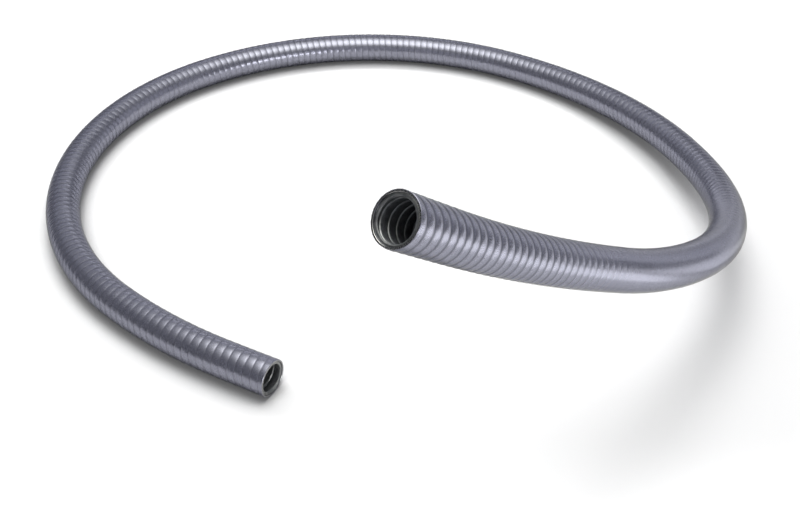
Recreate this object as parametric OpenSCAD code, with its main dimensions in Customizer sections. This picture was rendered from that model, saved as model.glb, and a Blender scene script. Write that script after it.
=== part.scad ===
// Liquidtight flexible conduit: a steel strip core with a ribbed jacket, cut to length
// and lying as one open loop whose second end has sprung up off the floor.
// Millimetres, +Z up, floor at z = 0. Seen from -Y, the free end rises towards the viewer.

/* [Section] */
// Outside diameter of the jacket over its ribs
jacket_diameter = 21.1; // [20.5:0.1:24]
// Thickness of the jacket at a rib
jacket_wall = 1.0; // [0.8:0.05:1.2]
// Clear bore of the steel core
core_bore = 16; // [13:0.1:16.5]
// Gap all round between the core and the jacket
layer_gap = 0.05; // [0.02:0.01:0.1]
// How far the core stops short of the jacket's cut face
core_setback = 0.5; // [0.1:0.1:2]

/* [Strip] */
// Distance from one turn of the strip to the next
strip_pitch = 4.9; // [4.5:0.1:8]
// Width of the open seam between two turns, seen inside both ends
seam_width = 1.4; // [0.8:0.1:2]
// Depth of that seam
seam_depth = 0.5; // [0.2:0.05:0.6]

/* [Ends] */
// Straight length at the end that lies on the floor
floor_end_length = 30; // [20:1:60]
// Straight length at the raised end
raised_end_length = 30; // [20:1:60]
// Compass heading of the floor end, anticlockwise from +X
start_heading = 152; // [140:1:165]

/* [Bends on the floor] */
// Bend radius next to the floor end
lead_radius = 330; // [250:1:450]
// Bend angle next to the floor end
lead_angle = 15; // [10:1:20]
// Bend radius of the left side
left_radius = 177; // [150:1:210]
// Bend angle of the left side
left_angle = 99; // [90:1:105]
// Bend radius of the back
back_radius = 210; // [180:1:240]
// Bend angle of the back
back_angle = 69; // [60:1:75]

/* [Bends off the floor] */
// Bend radius where the loop starts to lift
lift_radius = 230; // [200:1:260]
// Bend angle where the loop starts to lift
lift_angle = 44; // [38:1:50]
// Roll of that bend's plane out of the floor
lift_tilt = 8; // [5:1:12]
// Bend radius of the right side
right_radius = 205; // [180:1:230]
// Bend angle of the right side
right_angle = 58; // [50:1:64]
// Roll of that bend's plane from the one before
right_tilt = 15; // [10:1:20]
// Bend radius of the front
front_radius = 340; // [300:1:400]
// Bend angle of the front
front_angle = 12; // [8:1:16]
// Roll of that bend's plane from the one before
front_tilt = 40; // [30:1:50]
// Bend radius next to the raised end
last_radius = 770; // [600:1:900]
// Bend angle next to the raised end
last_angle = 10; // [6:1:12]
// Roll of that bend's plane from the one before
last_tilt = 70; // [50:1:80]

/* [Hidden] */

jacket_radius = jacket_diameter / 2;
jacket_bore_radius = jacket_radius - jacket_wall;
core_radius = jacket_bore_radius - layer_gap;
core_bore_radius = core_bore / 2;
seam_radius = core_bore_radius + seam_depth;

// How far a cutter reaches past the face that it cuts
over_cut = 0.5;
// Hairline between two stretches of the route, bridged by a neck inside the wall
joint_gap = 0.3;
// How far a neck reaches into the stretches beside it
neck_reach = 1;
// How far a neck lies below both faces of the wall
neck_inset = 0.25;
// Facets of a section and of a full turn of a bend
section_sides = 48;
bend_sides = 360;

// Each bend of the route in order: radius, angle, roll of its plane from the one before
RADIUS = 0;
ANGLE = 1;
TILT = 2;
bends = [
    [lead_radius, lead_angle, 0],
    [left_radius, left_angle, 0],
    [back_radius, back_angle, 0],
    [lift_radius, lift_angle, lift_tilt],
    [right_radius, right_angle, right_tilt],
    [front_radius, front_angle, front_tilt],
    [last_radius, last_angle, last_tilt]
];
last_bend = len(bends) - 1;

// Moves of the route's own frame: it runs along +Y and bends towards +X
function slid(x, y) = [[1, 0, 0, x], [0, 1, 0, y], [0, 0, 1, 0], [0, 0, 0, 1]];
function turned(a) = [[cos(a), sin(a), 0, 0], [-sin(a), cos(a), 0, 0], [0, 0, 1, 0], [0, 0, 0, 1]];
function rolled(a) = [[cos(a), 0, -sin(a), 0], [0, 1, 0, 0], [sin(a), 0, cos(a), 0], [0, 0, 0, 1]];
function bent(radius, a) = slid(radius * (1 - cos(a)), radius * sin(a)) * turned(a);

// Frames at the floor end's cut, at the start of each bend and at the raised end's cut.
// The raised end is drawn back from its cut, so that both ends are drawn alike
floor_cut = turned(90 - start_heading);
function bend_start(i) =
    i == 0
        ? floor_cut * slid(0, floor_end_length) * rolled(bends[0][TILT])
        : bend_start(i - 1) * bent(bends[i - 1][RADIUS], bends[i - 1][ANGLE]) * rolled(bends[i][TILT]);
starts = [for (i = [0 : last_bend]) bend_start(i)];
raised_cut =
    starts[last_bend]
    * bent(bends[last_bend][RADIUS], bends[last_bend][ANGLE])
    * slid(0, raised_end_length)
    * turned(180);

// Frames along the route, close enough together to find the part's box
frames_per_bend = 180;
route_frames = concat(
    [floor_cut, raised_cut],
    [
        for (i = [0 : last_bend], k = [0 : frames_per_bend])
            starts[i] * bent(bends[i][RADIUS], bends[i][ANGLE] * k / frames_per_bend)
    ]
);
// Half the size of the tube's cross-section along one axis, in one frame
function half_size(frame, axis) = jacket_radius * sqrt(max(0, 1 - frame[axis][1] * frame[axis][1]));
function middle(axis) = (
    min([for (f = route_frames) f[axis][3] - half_size(f, axis)])
    + max([for (f = route_frames) f[axis][3] + half_size(f, axis)])
) / 2;

// The wall of a tube in section
module ring(inner, outer) {
    difference() {
        circle(r = outer, $fn = section_sides);
        circle(r = inner, $fn = section_sides);
    }
}

// A straight tube along +Y between two distances
module straight_tube(from, to, inner, outer) {
    translate([0, from, 0])
        rotate([-90, 0, 0])
            linear_extrude(to - from)
                ring(inner, outer);
}

// A tube that starts along +Y and bends towards +X, stopping short by stop at both ends
module bent_tube(radius, angle, stop, inner, outer) {
    stop_angle = stop * 180 / (PI * radius);
    translate([radius, 0, 0])
        rotate([0, 180, -stop_angle])
            rotate_extrude(angle = angle - 2 * stop_angle, $fn = bend_sides)
                translate([radius, 0])
                    ring(inner, outer);
}

// The neck inside the wall that bridges the hairline at distance 0
module neck(inner, outer) {
    half_length = joint_gap / 2 + neck_reach;
    straight_tube(-half_length, half_length, inner + neck_inset, outer - neck_inset);
}

// A straight end, from its cut to the neck where the first bend starts
module end_tube(length, setback, inner, outer) {
    straight_tube(setback, length - joint_gap / 2, inner, outer);
    translate([0, length, 0])
        neck(inner, outer);
}

// A tube along the whole route, cut back by setback at both ends
module route_tube(setback, inner, outer) {
    multmatrix(floor_cut)
        end_tube(floor_end_length, setback, inner, outer);
    for (i = [0 : last_bend])
        multmatrix(starts[i]) {
            bent_tube(bends[i][RADIUS], bends[i][ANGLE], joint_gap / 2, inner, outer);
            if (i > 0)
                neck(inner, outer);
        }
    multmatrix(raised_cut)
        end_tube(raised_end_length, setback, inner, outer);
}

// Seams between the strip's turns along one straight end, counted from its cut
module end_seams(length) {
    turns = floor((length - seam_width) / strip_pitch);
    for (k = [1 : turns])
        straight_tube(
            k * strip_pitch - seam_width / 2,
            k * strip_pitch + seam_width / 2,
            core_bore_radius - over_cut,
            seam_radius
        );
}

// Puts the middle of the part's footprint at the origin and its underside on the floor
module on_floor() {
    translate([-middle(0), -middle(1), jacket_radius])
        children();
}

module pvc_jacket() {
    color([0.46, 0.45, 0.5])
        on_floor()
            route_tube(0, jacket_bore_radius, jacket_radius);
}

module steel_core() {
    color([0.62, 0.63, 0.64])
        on_floor()
            difference() {
                route_tube(core_setback, core_bore_radius, core_radius);
                multmatrix(floor_cut)
                    end_seams(floor_end_length);
                multmatrix(raised_cut)
                    end_seams(raised_end_length);
            }
}

pvc_jacket();
steel_core();
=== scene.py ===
import math

import bmesh
import bpy
import numpy as np
from mathutils import Matrix, Vector


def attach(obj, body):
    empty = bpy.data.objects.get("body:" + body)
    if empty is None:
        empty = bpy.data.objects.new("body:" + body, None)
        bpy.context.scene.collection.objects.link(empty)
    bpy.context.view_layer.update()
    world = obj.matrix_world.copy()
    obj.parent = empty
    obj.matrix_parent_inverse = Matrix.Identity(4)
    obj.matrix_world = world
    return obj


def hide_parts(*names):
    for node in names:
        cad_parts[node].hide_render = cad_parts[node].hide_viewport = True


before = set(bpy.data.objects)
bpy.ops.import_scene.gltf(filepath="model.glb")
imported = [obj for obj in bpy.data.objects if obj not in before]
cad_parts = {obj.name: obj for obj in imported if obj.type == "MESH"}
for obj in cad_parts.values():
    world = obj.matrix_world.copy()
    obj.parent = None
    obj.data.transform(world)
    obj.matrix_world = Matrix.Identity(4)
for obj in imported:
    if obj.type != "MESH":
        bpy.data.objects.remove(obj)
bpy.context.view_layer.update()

MM = 0.001
FULL_TURN = 2 * math.pi

# Section of the conduit, in millimetres
JACKET_RADIUS = 10.55
JACKET_BORE_RADIUS = 9.55
CORE_RADIUS = 9.5
CORE_BORE_RADIUS = 8.0
CORE_SETBACK = 0.5
STRIP_PITCH = 4.9
CUT_BEVEL = 0.12

# Route, as the CAD source has it: straight ends, and bends of radius, angle and roll of the bend's plane
FLOOR_END = 30.0
RAISED_END = 30.0
START_HEADING = 152.0
BENDS = (
    (330.0, 15.0, 0.0),
    (177.0, 99.0, 0.0),
    (210.0, 69.0, 0.0),
    (230.0, 44.0, 8.0),
    (205.0, 58.0, 15.0),
    (340.0, 12.0, 40.0),
    (770.0, 10.0, 70.0),
)
FOOTPRINT_SAMPLES = 6000
CORD_POINTS = 40

# The jacket's ribs in millimetres: a shallow wave with a crease between turns, and the mesh rows of a turn
RIB_WAVE = 0.08
CREASE_DEPTH = 0.12
CREASE_HALF_WIDTH = 0.38
GROOVE_DEPTH = RIB_WAVE + CREASE_DEPTH
RIB_ROWS = (0.0, 0.035, 0.07, 0.12, 0.19, 0.3, 0.5, 0.7, 0.81, 0.88, 0.93, 0.965)
# How much of that depth the ribs have at each length along the route, judged from the photograph
RIB_SHARES = (
    (0.0, 0.75),
    (120.0, 0.9),
    (290.0, 1.1),
    (400.0, 0.7),
    (500.0, 1.0),
    (570.0, 0.95),
    (690.0, 0.65),
    (800.0, 0.9),
    (900.0, 1.0),
    (1000.0, 0.05),
    (1135.0, 0.05),
    (1195.0, 1.15),
    (1250.0, 1.3),
)
DEEPEST_RIB = GROOVE_DEPTH * max(share for _, share in RIB_SHARES)
# One turn of the strip inside the bore: share of the pitch, and depth behind the bore in millimetres
STRIP_PROFILE = (
    (0.0, 0.03),
    (0.04, 0.0),
    (0.4, 0.05),
    (0.64, 0.1),
    (0.68, 0.22),
    (0.72, 0.5),
    (0.93, 0.52),
    (0.97, 0.26),
)
STRIP_ROWS = [share for share, _ in STRIP_PROFILE]

# Meshes: sides of a section, rings of a plain wall, sharp edges in degrees, and lengths that count as none
JACKET_SIDES = 28
CORE_SIDES = 36
PLAIN_RINGS = 66
JACKET_SHARP = 40
CORE_SHARP = 50
WELD_METRES = 1e-7
SHORTEST_MM = 1e-6
ROUNDING_MM = 1e-9

# The jacket: radius in millimetres past which a point is on the skin, then colours and finish
SKIN_MARGIN = 0.02
SKIN_STARTS = JACKET_RADIUS - DEEPEST_RIB - SKIN_MARGIN
SKIN_DARK = (0.255, 0.262, 0.35)
SKIN_LIGHT = (0.275, 0.282, 0.375)
# Painted shade: a darker colour laid into the grooves, in place of the shade that falls in the creases
# between turns
GROOVE_PAINTED_SHADE = (0.17, 0.175, 0.233)
CUT_FACE_COLOUR = (0.4, 0.405, 0.455)
SKIN_ROUGHNESS = (0.25, 0.28)
GRAIN_ROUGHNESS = (-0.02, 0.02)
GROOVE_ROUGHNESS = 0.08
SKIN_METALLIC = 0.72
CUT_FACE_METALLIC = 0.95
JACKET_IOR = 1.3
JACKET_EDGE_TINT = (0.24, 0.24, 0.24)
# Its noises: scale per metre, stretch along the tube, the range that is used, and the relief in metres
GRAIN_SCALE = 2200.0
GRAIN_DETAIL = 1.0
GRAIN_RANGE = (0.3, 0.7)
DRAWN_SCALE = 900.0
DRAWN_STRETCH = (1.0, 1.0, 0.03)
DRAWN_SHARE = 0.5
PATCH_SCALE = 60.0
PATCH_RANGE = (0.35, 0.65)
TONE_RANGE = (0.7, 1.3)
GRAIN_HEIGHT = 0.0000015

# The strip: colours, finish, and the radii in millimetres between which its bore turns into its cut face
STRIP_DARK = (0.18, 0.188, 0.21)
STRIP_LIGHT = (0.26, 0.27, 0.3)
STRIP_ROUGHNESS = (0.32, 0.42)
STRIP_METALLIC = (0.7, 0.95)
STRIP_FACE_RADII = (8.65, 8.9)
SPANGLE_SCALE = 900.0
STREAK_SCALE = 260.0
STREAK_STRETCH = (1.0, 1.0, 30.0)
STREAK_HEIGHT = 0.00002
SPANGLE_TONE_RANGE = (0.5, 1.5)

# Camera, matched to the photograph: place in millimetres, angles in degrees, lens and sensor in millimetres
CAMERA_PLACE = (9.48, -522.19, 395.02)
CAMERA_YAW = 0.18
CAMERA_PITCH = 38.213
CAMERA_ROLL = 0.15
CAMERA_LENS = 46.668
CAMERA_SENSOR = 36.0
CAMERA_CLIP = (0.01, 50.0)

# Floor, in metres: its glow for the camera, which grows towards the viewer and far from the part
FLOOR_GLOW = 0.06
NEAR_GLOW = 0.3
NEAR_RANGE = (-0.16, -0.24)
FAR_GLOW = 1.0
FAR_RANGE = (0.4, 0.75)
# Its colour in the open, and the shade painted on it close under the tube, for the camera and for everything
# else
FLOOR_WHITE = (0.95, 0.95, 0.95)
CONTACT_PAINTED_SHADE = (0.36, 0.36, 0.36)
REFLECTED_WHITE = (0.96, 0.942, 0.84)
REFLECTED_PAINTED_SHADE = (0.36, 0.353, 0.315)
# Painted shade: how far it reaches from the tube in metres, its samples, and the range of openness over which
# it fades out
CONTACT_REACH = 0.021
CONTACT_SAMPLES = 4
CONTACT_RANGE = (0.45, 0.75)
TABLE_FROM = (-0.62, -0.62)
TABLE_TO = (0.72, 2.6)
SURROUND = 6.0

# Light: the room's level on surfaces and in reflections, the lamps' tints and the softbox
ROOM_LIGHT = 0.41
ROOM_REFLECTION = 0.04
PURE_WHITE = (1.0, 1.0, 1.0)
WARM_WHITE = (1.0, 0.985, 0.87)
LAMP_WHITE = (1.0, 0.985, 0.82)
SOFTBOX_PLACE = (-0.01, 0.0, 0.85)
SOFTBOX_HALF = 1.0
SOFTBOX_REACH = (0.32, 0.38, 1.0)
SOFTBOX_FADE = 3.5
SOFTBOX_RADIANCE = 5.2

# Ranges of a share, and what makes a colour of three values opaque
NONE_TO_ALL = (0.0, 1.0)
ALL_TO_NONE = (1.0, 0.0)
OPAQUE = (1.0,)


class Route:
    """The conduit's centreline in millimetres: straight and bent stretches, with frames that don't twist."""

    def __init__(self):
        heading = math.radians(START_HEADING)
        point = np.zeros(3)
        along = np.array([math.cos(heading), math.sin(heading), 0.0])
        inward = np.array([math.sin(heading), -math.cos(heading), 0.0])
        side = inward.copy()
        self.stretches = []
        self.length = 0.0

        def add(radius, length):
            nonlocal point, along, inward, side
            self.stretches.append((self.length, length, radius, point, along, inward, side))
            point, along, inward, side = self.moved(radius, length, point, along, inward, side)
            self.length += length

        add(math.inf, FLOOR_END)
        for radius, angle, tilt in BENDS:
            up = np.cross(inward, along)
            roll = math.radians(tilt)
            inward = inward * math.cos(roll) + up * math.sin(roll)
            add(radius, radius * math.radians(angle))
        add(math.inf, RAISED_END)
        self.shift = np.zeros(3)
        self.shift = self.to_floor()

    @staticmethod
    def moved(radius, length, point, along, inward, side):
        """One stretch's start frame, moved length along it."""
        length = np.asarray(length)[..., None]
        if math.isinf(radius):
            still = np.ones_like(length)
            return point + along * length, along * still, inward * still, side * still
        angle = length / radius
        new_point = point + inward * radius * (1 - np.cos(angle)) + along * radius * np.sin(angle)
        new_along = along * np.cos(angle) + inward * np.sin(angle)
        new_inward = inward * np.cos(angle) - along * np.sin(angle)
        normal = np.cross(along, inward)
        new_side = new_inward * (side @ inward) + normal * (side @ normal)
        return new_point, new_along, new_inward, new_side

    def frames(self, lengths):
        """Centre, direction and two cross axes at each length along the route."""
        lengths = np.asarray(lengths, float)
        centre = np.zeros(lengths.shape + (3,))
        along = np.zeros_like(centre)
        side = np.zeros_like(centre)
        for start, length, radius, point, direction, inward, across in self.stretches:
            last = start + length >= self.length - SHORTEST_MM
            here = (lengths >= start - ROUNDING_MM) & ((lengths < start + length) | last)
            moved = self.moved(radius, lengths[here] - start, point, direction, inward, across)
            centre[here], along[here], _, side[here] = moved
        return centre + self.shift, along, side, np.cross(along, side)

    def to_floor(self):
        """The shift that puts the middle of the footprint at the origin and the underside on the floor."""
        centre, along, _, _ = self.frames(np.linspace(0, self.length, FOOTPRINT_SAMPLES))
        half = JACKET_RADIUS * np.sqrt(np.maximum(0, 1 - along**2))
        middle = ((centre - half).min(axis=0) + (centre + half).max(axis=0)) / 2
        return np.array([-middle[0], -middle[1], JACKET_RADIUS])

    def points(self, lengths, angles, radii):
        """Points on the tube, in metres, at a length, an angle round the section and a radius."""
        centre, _, side, up = self.frames(lengths)
        offset = side * np.cos(angles)[..., None] + up * np.sin(angles)[..., None]
        return (centre + offset * np.asarray(radii)[..., None]) * MM


route = Route()


def rib_depth(share):
    """Depth of the jacket below its ribs, at a share of the pitch from a groove's middle."""
    distance = np.abs(share - np.round(share)) * STRIP_PITCH
    wave = RIB_WAVE * (1 + np.cos(FULL_TURN * share)) / 2
    return wave + CREASE_DEPTH / (1 + (distance / CREASE_HALF_WIDTH) ** 2)


def strip_depth(share):
    """Depth of the strip's turns behind the bore, at a share of the pitch."""
    depths = [depth for _, depth in STRIP_PROFILE]
    return np.interp(np.mod(share, 1.0), STRIP_ROWS + [1.0], depths + depths[:1])


def jacket_radius(lengths, share):
    """Outside radius of the jacket over its ribs and grooves."""
    places, kept = zip(*RIB_SHARES)
    return JACKET_RADIUS - rib_depth(share) * np.interp(lengths, places, kept)


def core_radius(lengths, share):
    """Inside radius of the wound strip, which is the same all along its length."""
    return CORE_BORE_RADIUS + strip_depth(share)


def angles_round(sides):
    """Angles of a section's points."""
    return np.linspace(0, FULL_TURN, sides, endpoint=False)


def share_at(lengths, angles):
    """Share of the pitch at a length and angle, counted from a turn's start on the helix."""
    return lengths / STRIP_PITCH - angles / FULL_TURN


def quads(index):
    """Faces between neighbouring rows and columns of a grid of point numbers."""
    corners = [index[:-1, :-1], index[:-1, 1:], index[1:, 1:], index[1:, :-1]]
    return np.stack(corners, axis=-1).reshape(-1, 4)


class Surface:
    """Quads on the tube, each point given by its length, angle and radius, welded into one mesh.

    Each point also keeps its place on the tube as if it were laid straight, for the materials.
    """

    def __init__(self):
        self.points = []
        self.straight = []
        self.radii = []
        self.faces = []
        self.count = 0

    def add(self, lengths, angles, radii, faces, inward):
        """Points of any layout and the faces between them, turned over where they face the bore."""
        lengths, angles, radii = (v.reshape(-1) for v in np.broadcast_arrays(lengths, angles, radii))
        self.points.append(route.points(lengths, angles, radii))
        straight = np.stack([radii * np.cos(angles), radii * np.sin(angles), lengths], axis=-1)
        self.straight.append(straight * MM)
        self.radii.append(radii)
        self.faces.append((faces[:, ::-1] if inward else faces) + self.count)
        self.count += len(lengths)

    def add_rings(self, lengths, angles, radii, inward):
        """Rings of points, closed round the section, skinned from the first ring to the last."""
        rings, sides = np.broadcast(lengths, angles, radii).shape
        index = np.arange(rings * sides).reshape(rings, sides)
        self.add(lengths, angles, radii, quads(np.concatenate([index, index[:, :1]], axis=1)), inward)

    def add_helix(self, sides, rows, first, last, radius_at, inward):
        """A wall wound as a helix between two lengths, with its rows along the turns and flat cut ends.

        It starts a turn early and ends a turn late. What lies past the cuts is squeezed flat and left out.
        """
        turns = int(math.ceil((last - first) / STRIP_PITCH)) + 2
        starts = (np.arange(-1, turns)[:, None] + np.array(rows)).reshape(-1, 1)
        angles = angles_round(sides)
        lengths = np.clip((starts + angles / FULL_TURN) * STRIP_PITCH, first, last)
        radii = radius_at(lengths, share_at(lengths, angles))
        index = np.arange(lengths.size).reshape(lengths.shape)
        faces = quads(np.concatenate([index[: -len(rows)], index[len(rows) :, :1]], axis=1))
        spread = np.ptp(lengths.reshape(-1)[faces], axis=1)
        self.add(lengths, angles, radii, faces[spread > SHORTEST_MM], inward)

    def add_cut_face(self, cut, into, angles, outer, inner):
        """A saw-cut end face with both edges broken, between two radii at one end."""
        edge = cut + into * CUT_BEVEL
        lengths = np.array([edge, cut, cut, cut, edge])[:, None]
        radii = np.stack([outer, outer - CUT_BEVEL, (outer + inner) / 2, inner + CUT_BEVEL, inner])
        self.add_rings(lengths, angles, radii, inward=into > 0)

    def object(self, name, sharp_angle):
        """The finished piece, smooth but for its sharp edges."""
        mesh = bpy.data.meshes.new(name)
        mesh.from_pydata(np.concatenate(self.points).tolist(), [], np.concatenate(self.faces).tolist())
        straight = mesh.attributes.new("straight", "FLOAT_VECTOR", "POINT")
        straight.data.foreach_set("vector", np.concatenate(self.straight).reshape(-1))
        radius = mesh.attributes.new("radius", "FLOAT", "POINT")
        radius.data.foreach_set("value", np.concatenate(self.radii))
        work = bmesh.new()
        work.from_mesh(mesh)
        bmesh.ops.remove_doubles(work, verts=work.verts, dist=WELD_METRES)
        bmesh.ops.dissolve_degenerate(work, edges=work.edges, dist=WELD_METRES)
        work.to_mesh(mesh)
        work.free()
        mesh.validate()
        mesh.polygons.foreach_set("use_smooth", [True] * len(mesh.polygons))
        mesh.set_sharp_from_angle(angle=math.radians(sharp_angle))
        piece = bpy.data.objects.new(name, mesh)
        bpy.context.scene.collection.objects.link(piece)
        return piece


def make_jacket():
    """The jacket: its ribbed outside, both cut faces and its plain bore."""
    surface = Surface()
    angles = angles_round(JACKET_SIDES)
    first, last = CUT_BEVEL, route.length - CUT_BEVEL
    surface.add_helix(JACKET_SIDES, RIB_ROWS, first, last, jacket_radius, inward=False)
    bore = np.full(JACKET_SIDES, JACKET_BORE_RADIUS)
    for cut, edge, into in ((0.0, first, 1), (route.length, last, -1)):
        surface.add_cut_face(cut, into, angles, jacket_radius(edge, share_at(edge, angles)), bore)
    surface.add_rings(np.linspace(first, last, PLAIN_RINGS)[:, None], angles, JACKET_BORE_RADIUS, inward=True)
    return surface.object("jacket_ribbed", JACKET_SHARP)


def make_core():
    """The core: its wound strip inside, both cut faces and its plain outside, which the jacket hides."""
    surface = Surface()
    angles = angles_round(CORE_SIDES)
    cuts = (CORE_SETBACK, route.length - CORE_SETBACK)
    first, last = cuts[0] + CUT_BEVEL, cuts[1] - CUT_BEVEL
    surface.add_helix(CORE_SIDES, STRIP_ROWS, first, last, core_radius, inward=True)
    outside = np.full(CORE_SIDES, CORE_RADIUS)
    for cut, edge, into in ((cuts[0], first, 1), (cuts[1], last, -1)):
        surface.add_cut_face(cut, into, angles, outside, core_radius(edge, share_at(edge, angles)))
    surface.add_rings(np.linspace(first, last, PLAIN_RINGS)[:, None], angles, CORE_RADIUS, inward=False)
    return surface.object("core_strip", CORE_SHARP)


class Nodes:
    """Short forms for a material's nodes."""

    def __init__(self, tree):
        self.nodes = tree.nodes
        self.link = tree.links.new

    def new(self, kind):
        return self.nodes.new("ShaderNode" + kind)

    def attribute(self, name):
        node = self.new("Attribute")
        node.attribute_name = name
        return node.outputs

    def straight(self, stretch=(1.0, 1.0, 1.0)):
        """Place on the tube laid straight, in metres, stretched per axis."""
        return self.vector("MULTIPLY", self.attribute("straight")["Vector"], stretch)

    def radius(self):
        """Distance from the tube's centreline, in millimetres."""
        return self.attribute("radius")["Fac"]

    def vector(self, operation, first, second):
        node = self.new("VectorMath")
        node.operation = operation
        self.link(first, node.inputs[0])
        node.inputs[1].default_value = second
        return node.outputs["Vector"]

    def length(self, vector):
        node = self.new("VectorMath")
        node.operation = "LENGTH"
        self.link(vector, node.inputs[0])
        return node.outputs["Value"]

    def noise(self, place, scale, detail=2.0):
        node = self.new("TexNoise")
        node.inputs["Scale"].default_value = scale
        node.inputs["Detail"].default_value = detail
        self.link(place, node.inputs["Vector"])
        return node.outputs["Fac"]

    def cells(self, place, scale):
        """A random value for each cell of a pattern."""
        node = self.new("TexVoronoi")
        node.inputs["Scale"].default_value = scale
        self.link(place, node.inputs["Vector"])
        parts = self.new("SeparateColor")
        self.link(node.outputs["Color"], parts.inputs["Color"])
        return parts.outputs["Red"]

    def span(self, value, before, after, smooth=False):
        """A value from one range to another, held at the ends."""
        node = self.new("MapRange")
        if smooth:
            node.interpolation_type = "SMOOTHSTEP"
        node.inputs["From Min"].default_value = before[0]
        node.inputs["From Max"].default_value = before[1]
        node.inputs["To Min"].default_value = after[0]
        node.inputs["To Max"].default_value = after[1]
        self.link(value, node.inputs["Value"])
        return node.outputs["Result"]

    def math(self, operation, first, second):
        node = self.new("Math")
        node.operation = operation
        for socket, value in zip(node.inputs, (first, second)):
            if isinstance(value, float):
                socket.default_value = value
            else:
                self.link(value, socket)
        return node.outputs["Value"]

    def blend(self, share, first, second):
        """One colour to another by a share."""
        node = self.new("Mix")
        node.data_type = "RGBA"
        self.link(share, node.inputs["Factor"])
        sockets = [socket for socket in node.inputs if socket.type == "RGBA"]
        for socket, colour in zip(sockets, (first, second)):
            if isinstance(colour, tuple):
                socket.default_value = colour + OPAQUE
            else:
                self.link(colour, socket)
        return [socket for socket in node.outputs if socket.type == "RGBA"][0]

    def bump(self, height, distance, shader):
        """A relief of that height in metres on a shader."""
        node = self.new("Bump")
        node.inputs["Strength"].default_value = 1.0
        node.inputs["Distance"].default_value = distance
        self.link(height, node.inputs["Height"])
        self.link(node.outputs["Normal"], shader.inputs["Normal"])

    def surface(self, shader):
        """Shows a shader on the material's surface."""
        self.link(shader.outputs[0], self.new("OutputMaterial").inputs["Surface"])


def new_material(name):
    """A material, its nodes and its plain shader."""
    material = bpy.data.materials.new(name)
    material.use_nodes = True
    make = Nodes(material.node_tree)
    return material, make, make.nodes["Principled BSDF"]


def empty_material(name):
    """A material without a shader, and its nodes."""
    material, make, _ = new_material(name)
    make.nodes.clear()
    return material, make


def pvc_material():
    """Satin grey plastic with a fine grain, faint lines along its length, rougher grooves and shade painted
    into the grooves.
    """
    material, make, shader = new_material("pvc_jacket")
    grain = make.noise(make.straight(), GRAIN_SCALE, GRAIN_DETAIL)
    drawn = make.noise(make.straight(DRAWN_STRETCH), DRAWN_SCALE)
    patches = make.noise(make.straight(), PATCH_SCALE)
    outside = make.math("GREATER_THAN", make.radius(), SKIN_STARTS)
    groove_radii = (JACKET_RADIUS - GROOVE_DEPTH, JACKET_RADIUS - RIB_WAVE)
    groove = make.math("MULTIPLY", make.span(make.radius(), groove_radii, ALL_TO_NONE), outside)

    tone = make.span(make.math("ADD", drawn, patches), TONE_RANGE, NONE_TO_ALL)
    # Painted shade: the skin's colour darkens towards the bottom of each groove
    skin = make.blend(groove, make.blend(tone, SKIN_DARK, SKIN_LIGHT), GROOVE_PAINTED_SHADE)
    make.link(make.blend(outside, CUT_FACE_COLOUR, skin), shader.inputs["Base Color"])

    worn = make.span(patches, PATCH_RANGE, SKIN_ROUGHNESS)
    worn = make.math("ADD", worn, make.span(grain, GRAIN_RANGE, GRAIN_ROUGHNESS))
    worn = make.math("ADD", worn, make.span(groove, NONE_TO_ALL, (0.0, GROOVE_ROUGHNESS)))
    make.link(worn, shader.inputs["Roughness"])

    metallic = make.span(outside, NONE_TO_ALL, (CUT_FACE_METALLIC, SKIN_METALLIC))
    make.link(metallic, shader.inputs["Metallic"])
    make.bump(make.math("ADD", grain, make.math("MULTIPLY", drawn, DRAWN_SHARE)), GRAIN_HEIGHT, shader)
    shader.inputs["IOR"].default_value = JACKET_IOR
    shader.inputs["Specular Tint"].default_value = JACKET_EDGE_TINT + OPAQUE
    return material


def steel_material():
    """Galvanised strip: dull zinc with a spangle and streaks along the winding."""
    material, make, shader = new_material("steel_core")
    spangle = make.cells(make.straight(), SPANGLE_SCALE)
    streaks = make.noise(make.straight(STREAK_STRETCH), STREAK_SCALE)
    tone = make.span(make.math("ADD", spangle, streaks), SPANGLE_TONE_RANGE, NONE_TO_ALL)
    make.link(make.blend(tone, STRIP_DARK, STRIP_LIGHT), shader.inputs["Base Color"])
    make.link(make.span(spangle, NONE_TO_ALL, STRIP_ROUGHNESS), shader.inputs["Roughness"])
    make.link(make.span(make.radius(), STRIP_FACE_RADII, STRIP_METALLIC), shader.inputs["Metallic"])
    make.bump(streaks, STREAK_HEIGHT, shader)
    return material


def floor_material():
    """A white floor that keeps its shadows, glows a little for the camera and has shade painted on it close
    to the tube.
    """
    material, make = empty_material("floor")
    camera_ray = make.new("LightPath").outputs["Is Camera Ray"]
    place = make.new("NewGeometry").outputs["Position"]
    axes = make.new("SeparateXYZ")
    make.link(place, axes.inputs[0])
    near = make.span(axes.outputs["Y"], NEAR_RANGE, (FLOOR_GLOW, NEAR_GLOW), smooth=True)
    far = make.span(make.length(place), FAR_RANGE, (0.0, FAR_GLOW))
    glow = make.new("Emission")
    seen_glow = make.math("MULTIPLY", camera_ray, make.math("MAXIMUM", near, far))
    make.link(seen_glow, glow.inputs["Strength"])

    # Painted shade: grey painted on the floor where the tube is close, seen by the camera and in reflections
    contact = make.new("AmbientOcclusion")
    contact.inputs["Distance"].default_value = CONTACT_REACH
    contact.samples = CONTACT_SAMPLES
    open_share = make.span(contact.outputs["AO"], CONTACT_RANGE, NONE_TO_ALL)
    shown = make.blend(open_share, CONTACT_PAINTED_SHADE, FLOOR_WHITE)
    reflected = make.blend(open_share, REFLECTED_PAINTED_SHADE, REFLECTED_WHITE)
    diffuse = make.new("BsdfDiffuse")
    make.link(make.blend(camera_ray, reflected, shown), diffuse.inputs["Color"])

    both = make.new("AddShader")
    make.link(diffuse.outputs[0], both.inputs[0])
    make.link(glow.outputs[0], both.inputs[1])
    make.surface(both)
    return material


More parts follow.
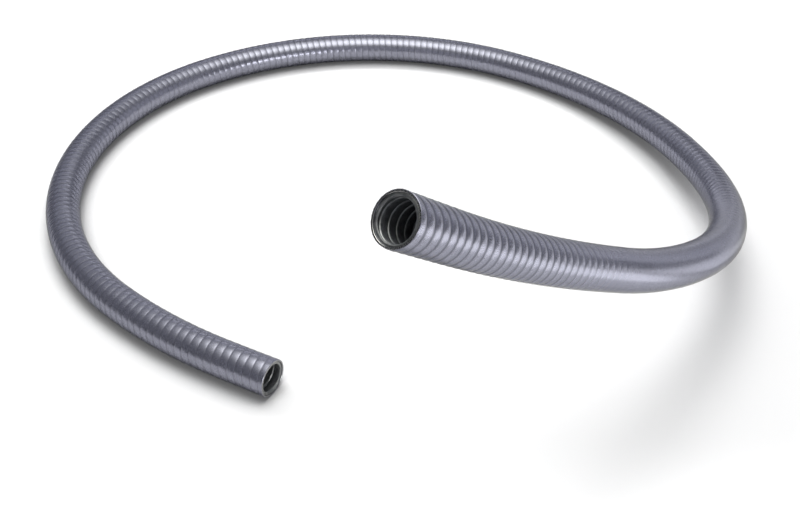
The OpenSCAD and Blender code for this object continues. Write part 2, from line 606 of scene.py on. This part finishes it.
def softbox_material():
    """Light that is brightest in the softbox's middle and fades outwards."""
    material, make = empty_material("softbox")
    place = make.new("NewGeometry").outputs["Position"]
    away = make.vector("SUBTRACT", place, SOFTBOX_PLACE)
    distance = make.length(make.vector("DIVIDE", away, SOFTBOX_REACH))
    fade = make.math("ADD", make.math("POWER", distance, SOFTBOX_FADE), 1.0)
    glow = make.new("Emission")
    glow.inputs["Color"].default_value = LAMP_WHITE + OPAQUE
    make.link(make.math("DIVIDE", SOFTBOX_RADIANCE, fade), glow.inputs["Strength"])
    make.surface(glow)
    return material


def add_stage(name, corners, faces, material):
    """A piece of the stage, which is no part of the conduit."""
    mesh = bpy.data.meshes.new(name)
    mesh.from_pydata(corners, [], faces)
    mesh.materials.append(material)
    piece = bpy.data.objects.new(name, mesh)
    bpy.context.scene.collection.objects.link(piece)
    return piece


def rectangle(low, high, height):
    """Corners of a level rectangle, anticlockwise from above."""
    (x0, y0), (x1, y1) = low, high
    return [(x0, y0, height), (x1, y0, height), (x1, y1, height), (x0, y1, height)]


def make_stage():
    """A white table, and a wider surround that only the camera sees."""
    material = floor_material()
    inner = rectangle(TABLE_FROM, TABLE_TO, 0.0)
    outer = rectangle((-SURROUND, -SURROUND), (SURROUND, SURROUND), 0.0)
    add_stage("table", inner, [(0, 1, 2, 3)], material)
    ring = [(k, k + 4, (k + 1) % 4 + 4, (k + 1) % 4) for k in range(4)]
    surround = add_stage("surround", inner + outer, ring, material)
    surround.visible_diffuse = False
    surround.visible_glossy = False


def make_softbox():
    """A lamp overhead, for reflections alone."""
    x, y, z = SOFTBOX_PLACE
    half = SOFTBOX_HALF
    corners = rectangle((x - half, y - half), (x + half, y + half), z)
    box = add_stage("softbox", corners, [(0, 3, 2, 1)], softbox_material())
    box.visible_camera = False
    box.visible_diffuse = False
    box.visible_shadow = False


def make_world():
    """White for the camera, dim for everything else, as a dark studio round a lit table."""
    world = bpy.data.worlds.new("studio")
    bpy.context.scene.world = world
    world.use_nodes = True
    make = Nodes(world.node_tree)
    back = make.nodes["Background"]
    back.inputs["Color"].default_value = PURE_WHITE + OPAQUE
    path = make.new("LightPath")
    unseen = make.span(path.outputs["Is Glossy Ray"], NONE_TO_ALL, (ROOM_LIGHT, ROOM_REFLECTION))
    make.link(make.math("MAXIMUM", unseen, path.outputs["Is Camera Ray"]), back.inputs["Strength"])


def add_area(name, place, target, width, height, radiance, colour=PURE_WHITE, diffuse=True, glossy=True):
    """A rectangular lamp of that radiance, in metres, which the camera doesn't see."""
    data = bpy.data.lights.new(name, "AREA")
    data.shape = "RECTANGLE"
    data.size = width
    data.size_y = height
    data.color = colour
    data.energy = radiance * math.pi * width * height
    lamp = bpy.data.objects.new(name, data)
    lamp.location = place
    lamp.rotation_euler = (Vector(target) - Vector(place)).to_track_quat("-Z", "Y").to_euler()
    lamp.visible_camera = False
    lamp.visible_diffuse = diffuse
    lamp.visible_glossy = glossy
    bpy.context.scene.collection.objects.link(lamp)


def add_card(name, place, target, width, height, radiance, colour=WARM_WHITE):
    """A lit card that only reflections see."""
    add_area(name, place, target, width, height, radiance, colour, diffuse=False)


def make_lights():
    """Two lamps overhead for the shadows, patches of lit floor at the right, and cards for reflections."""
    add_area("top", (-0.13, -0.03, 1.3), (-0.13, -0.03, 0.0), 0.62, 0.85, 5.0, glossy=False)
    add_area("top_back", (-0.4, 0.8, 1.3), (-0.4, 0.8, 0.0), 2.2, 0.35, 5.4, glossy=False)
    add_card("back_spill", (-0.75, 1.2, 0.9), (-0.75, 1.2, 0.0), 1.2, 1.2, 0.35, PURE_WHITE)
    add_area("low_right", (0.45, -0.235, 0.002), (0.45, -0.235, 1.0), 0.4, 0.23, 2.4, WARM_WHITE)
    add_area("low_right_near", (0.15, -0.2, 0.002), (0.15, -0.2, 1.0), 0.2, 0.3, 0.7, WARM_WHITE)
    add_area("low_right_far", (0.54, 0.165, 0.002), (0.54, 0.165, 1.0), 0.36, 0.5, 1.5, WARM_WHITE)
    add_area("low_right_side", (0.315, -0.03, 0.002), (0.315, -0.03, 1.0), 0.09, 0.11, 2.0, WARM_WHITE)
    add_card("back_floor", (0.6, 1.3, 0.002), (0.6, 1.3, 1.0), 1.3, 1.6, 1.3)
    add_card("back_card", (0.5, 3.0, 0.22), (0.5, 0.0, 0.22), 2.4, 0.44, 1.6)
    add_card("back_wall", (0.0, 2.5, 1.2), (0.0, 0.0, 0.05), 1.1, 0.3, 2.2)
    add_card("back_left", (-0.38, 0.92, 0.9), (-0.38, 0.92, 0.0), 0.4, 0.3, 3.0)
    add_card("corner_card", (1.9, 1.9, 0.18), (0.15, -0.1, 0.1), 1.8, 0.4, 1.0)
    add_card("front_card", (0.0, -1.6, 0.9), (0.0, 0.0, 0.1), 3.0, 1.4, 0.35, PURE_WHITE)
    add_card("right_card", (1.6, 0.4, 0.5), (0.1, 0.0, 0.05), 2.0, 0.9, 0.4, PURE_WHITE)
    add_card("low_front_card", (0.75, -1.03, 0.14), (-0.07, 0.23, 0.01), 0.7, 0.3, 9.0)


def make_camera():
    """The photograph's camera."""
    yaw, pitch, roll = (math.radians(a) for a in (CAMERA_YAW, CAMERA_PITCH, CAMERA_ROLL))
    forward = Vector((math.sin(yaw) * math.cos(pitch), math.cos(yaw) * math.cos(pitch), -math.sin(pitch)))
    level = Vector((math.cos(yaw), -math.sin(yaw), 0))
    upright = level.cross(forward)
    right = level * math.cos(roll) + upright * math.sin(roll)
    up = upright * math.cos(roll) - level * math.sin(roll)
    data = bpy.data.cameras.new("camera")
    data.sensor_width = CAMERA_SENSOR
    data.lens = CAMERA_LENS
    data.clip_start, data.clip_end = CAMERA_CLIP
    camera = bpy.data.objects.new("camera", data)
    turn = Matrix((right, up, -forward)).transposed().to_4x4()
    camera.matrix_world = Matrix.Translation(Vector(CAMERA_PLACE) * MM) @ turn
    bpy.context.scene.collection.objects.link(camera)
    bpy.context.scene.camera = camera


bpy.context.scene.view_settings.view_transform = "Standard"
make_camera()

jacket = make_jacket()
core = make_core()
jacket.data.materials.append(pvc_material())
core.data.materials.append(steel_material())
for piece, node in ((jacket, "pvc_jacket"), (core, "steel_core")):
    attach(piece, "root")
    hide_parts(node)
centreline = route.frames(np.linspace(0, route.length, CORD_POINTS))[0] * MM

make_stage()
make_softbox()
make_world()
make_lights()
